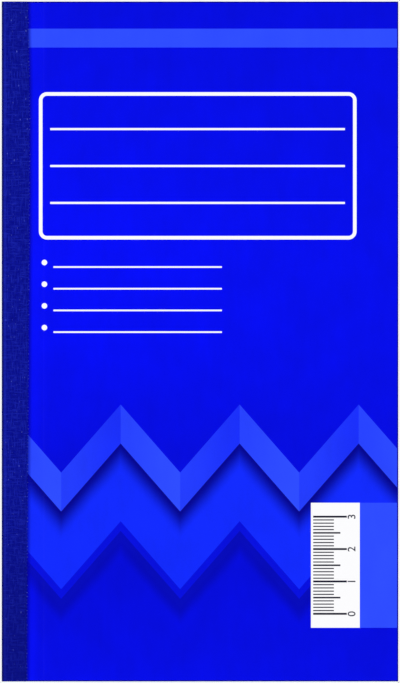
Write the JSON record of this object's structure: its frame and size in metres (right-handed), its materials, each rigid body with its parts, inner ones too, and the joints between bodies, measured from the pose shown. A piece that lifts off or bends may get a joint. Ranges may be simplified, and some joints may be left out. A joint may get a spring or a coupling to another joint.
{
  "type": "duplicate memo book",
  "caption": "Closed cloth-spined duplicate book: scored blue card covers open on perforated white top copies over yellow duplicate copies, wire-stitched along the left edge.",
  "frame": {"origin": "middle of the closed book's footprint, on the surface that its back cover lies on", "axes": "+X from the spine to the fore edge, +Y from the foot to the head, +Z from the back cover to the front cover"},
  "size_m": [0.1226, 0.21, 0.0157],
  "materials": {
    "cover_card": "gloss coated card, pale inside",
    "spine_cloth": "linen-grain cloth tape",
    "white_paper": "matte carbonless paper",
    "yellow_paper": "matte carbonless paper",
    "stacked_paper": "matte trimmed leaf edges",
    "shield_card": "matte greyboard",
    "stitch_wire": "galvanised wire"
  },
  "bodies": {
    "bound_block": {"spine_tape": "spine_cloth", "front_cover_binding_strip": "cover_card", "back_cover_binding_strip": "cover_card", "wire_stitch_head": "stitch_wire", "wire_stitch_middle": "stitch_wire", "wire_stitch_foot": "stitch_wire", "sets_005_to_016": "stacked_paper", "sets_017_to_028": "stacked_paper", "sets_029_to_040": "stacked_paper", "sets_041_to_052": "stacked_paper", "sets_053_to_064": "stacked_paper", "sets_065_to_076": "stacked_paper", "sets_077_to_088": "stacked_paper", "sets_089_to_100": "stacked_paper", "index_sheet_margin": "white_paper", "top_copy_1_margin": "white_paper", "duplicate_copy_1_margin": "yellow_paper", "top_copy_2_margin": "white_paper", "duplicate_copy_2_margin": "yellow_paper", "top_copy_3_margin": "white_paper", "duplicate_copy_3_margin": "yellow_paper", "top_copy_4_margin": "white_paper", "duplicate_copy_4_margin": "yellow_paper"},
    "front_cover": {"front_cover": "cover_card"},
    "back_cover": {"back_cover": "cover_card"},
    "writing_shield": {"writing_shield": "shield_card"},
    "index_sheet_leaf": {"index_sheet_leaf": "white_paper"},
    "top_copy_1_stub": {"top_copy_1_stub": "white_paper"},
    "top_copy_1_sheet": {"top_copy_1_sheet": "white_paper"},
    "duplicate_copy_1_leaf": {"duplicate_copy_1_leaf": "yellow_paper"},
    "top_copy_2_stub": {"top_copy_2_stub": "white_paper"},
    "top_copy_2_sheet": {"top_copy_2_sheet": "white_paper"},
    "duplicate_copy_2_leaf": {"duplicate_copy_2_leaf": "yellow_paper"},
    "top_copy_3_stub": {"top_copy_3_stub": "white_paper"},
    "top_copy_3_sheet": {"top_copy_3_sheet": "white_paper"},
    "duplicate_copy_3_leaf": {"duplicate_copy_3_leaf": "yellow_paper"},
    "top_copy_4_stub": {"top_copy_4_stub": "white_paper"},
    "top_copy_4_sheet": {"top_copy_4_sheet": "white_paper"},
    "duplicate_copy_4_leaf": {"duplicate_copy_4_leaf": "yellow_paper"}
  },
  "joints": [
    {"name": "front_cover_open", "type": "hinge", "parent": "bound_block", "child": "front_cover", "pos_m": [-0.04855, 0, 0.01542], "axis": [0, -1, 0], "range_deg": [0, 175]},
    {"name": "back_cover_open", "type": "hinge", "parent": "bound_block", "child": "back_cover", "pos_m": [-0.04855, 0, 0], "axis": [0, 1, 0], "range_deg": [0, 175]},
    {"name": "writing_shield_slide", "type": "slide", "parent": "back_cover", "child": "writing_shield", "axis": [1, 0, 0], "range_m": [0, 0.115]},
    {"name": "index_sheet_turn", "type": "hinge", "parent": "bound_block", "child": "index_sheet_leaf", "pos_m": [-0.04605, 0, 0.01491], "axis": [0, -1, 0], "range_deg": [0, 150]},
    {"name": "top_copy_1_turn", "type": "hinge", "parent": "bound_block", "child": "top_copy_1_stub", "pos_m": [-0.04575, 0, 0.01484], "axis": [0, -1, 0], "range_deg": [0, 135]},
    {"name": "top_copy_1_tear_off", "type": "slide", "parent": "top_copy_1_stub", "child": "top_copy_1_sheet", "axis": [1, 0, 0], "range_m": [0, 0.12]},
    {"name": "duplicate_copy_1_turn", "type": "hinge", "parent": "bound_block", "child": "duplicate_copy_1_leaf", "pos_m": [-0.04545, 0, 0.01477], "axis": [0, -1, 0], "range_deg": [0, 120]},
    {"name": "top_copy_2_turn", "type": "hinge", "parent": "bound_block", "child": "top_copy_2_stub", "pos_m": [-0.04515, 0, 0.0147], "axis": [0, -1, 0], "range_deg": [0, 105]},
    {"name": "top_copy_2_tear_off", "type": "slide", "parent": "top_copy_2_stub", "child": "top_copy_2_sheet", "axis": [1, 0, 0], "range_m": [0, 0.12]},
    {"name": "duplicate_copy_2_turn", "type": "hinge", "parent": "bound_block", "child": "duplicate_copy_2_leaf", "pos_m": [-0.04485, 0, 0.01463], "axis": [0, -1, 0], "range_deg": [0, 90]},
    {"name": "top_copy_3_turn", "type": "hinge", "parent": "bound_block", "child": "top_copy_3_stub", "pos_m": [-0.04455, 0, 0.01456], "axis": [0, -1, 0], "range_deg": [0, 75]},
    {"name": "top_copy_3_tear_off", "type": "slide", "parent": "top_copy_3_stub", "child": "top_copy_3_sheet", "axis": [1, 0, 0], "range_m": [0, 0.12]},
    {"name": "duplicate_copy_3_turn", "type": "hinge", "parent": "bound_block", "child": "duplicate_copy_3_leaf", "pos_m": [-0.04425, 0, 0.01449], "axis": [0, -1, 0], "range_deg": [0, 60]},
    {"name": "top_copy_4_turn", "type": "hinge", "parent": "bound_block", "child": "top_copy_4_stub", "pos_m": [-0.04395, 0, 0.01442], "axis": [0, -1, 0], "range_deg": [0, 45]},
    {"name": "top_copy_4_tear_off", "type": "slide", "parent": "top_copy_4_stub", "child": "top_copy_4_sheet", "axis": [1, 0, 0], "range_m": [0, 0.12]},
    {"name": "duplicate_copy_4_turn", "type": "hinge", "parent": "bound_block", "child": "duplicate_copy_4_leaf", "pos_m": [-0.04365, 0, 0.01435], "axis": [0, -1, 0], "range_deg": [0, 30]}
  ],
  "couplings": [
    {"joint": "index_sheet_turn", "follows": "front_cover_open", "ratio": 0.85714},
    {"joint": "top_copy_1_turn", "follows": "front_cover_open", "ratio": 0.77143},
    {"joint": "duplicate_copy_1_turn", "follows": "front_cover_open", "ratio": 0.68571},
    {"joint": "top_copy_2_turn", "follows": "front_cover_open", "ratio": 0.6},
    {"joint": "duplicate_copy_2_turn", "follows": "front_cover_open", "ratio": 0.51429},
    {"joint": "top_copy_3_turn", "follows": "front_cover_open", "ratio": 0.42857},
    {"joint": "duplicate_copy_3_turn", "follows": "front_cover_open", "ratio": 0.34286},
    {"joint": "top_copy_4_turn", "follows": "front_cover_open", "ratio": 0.25714},
    {"joint": "duplicate_copy_4_turn", "follows": "front_cover_open", "ratio": 0.17143}
  ]
}
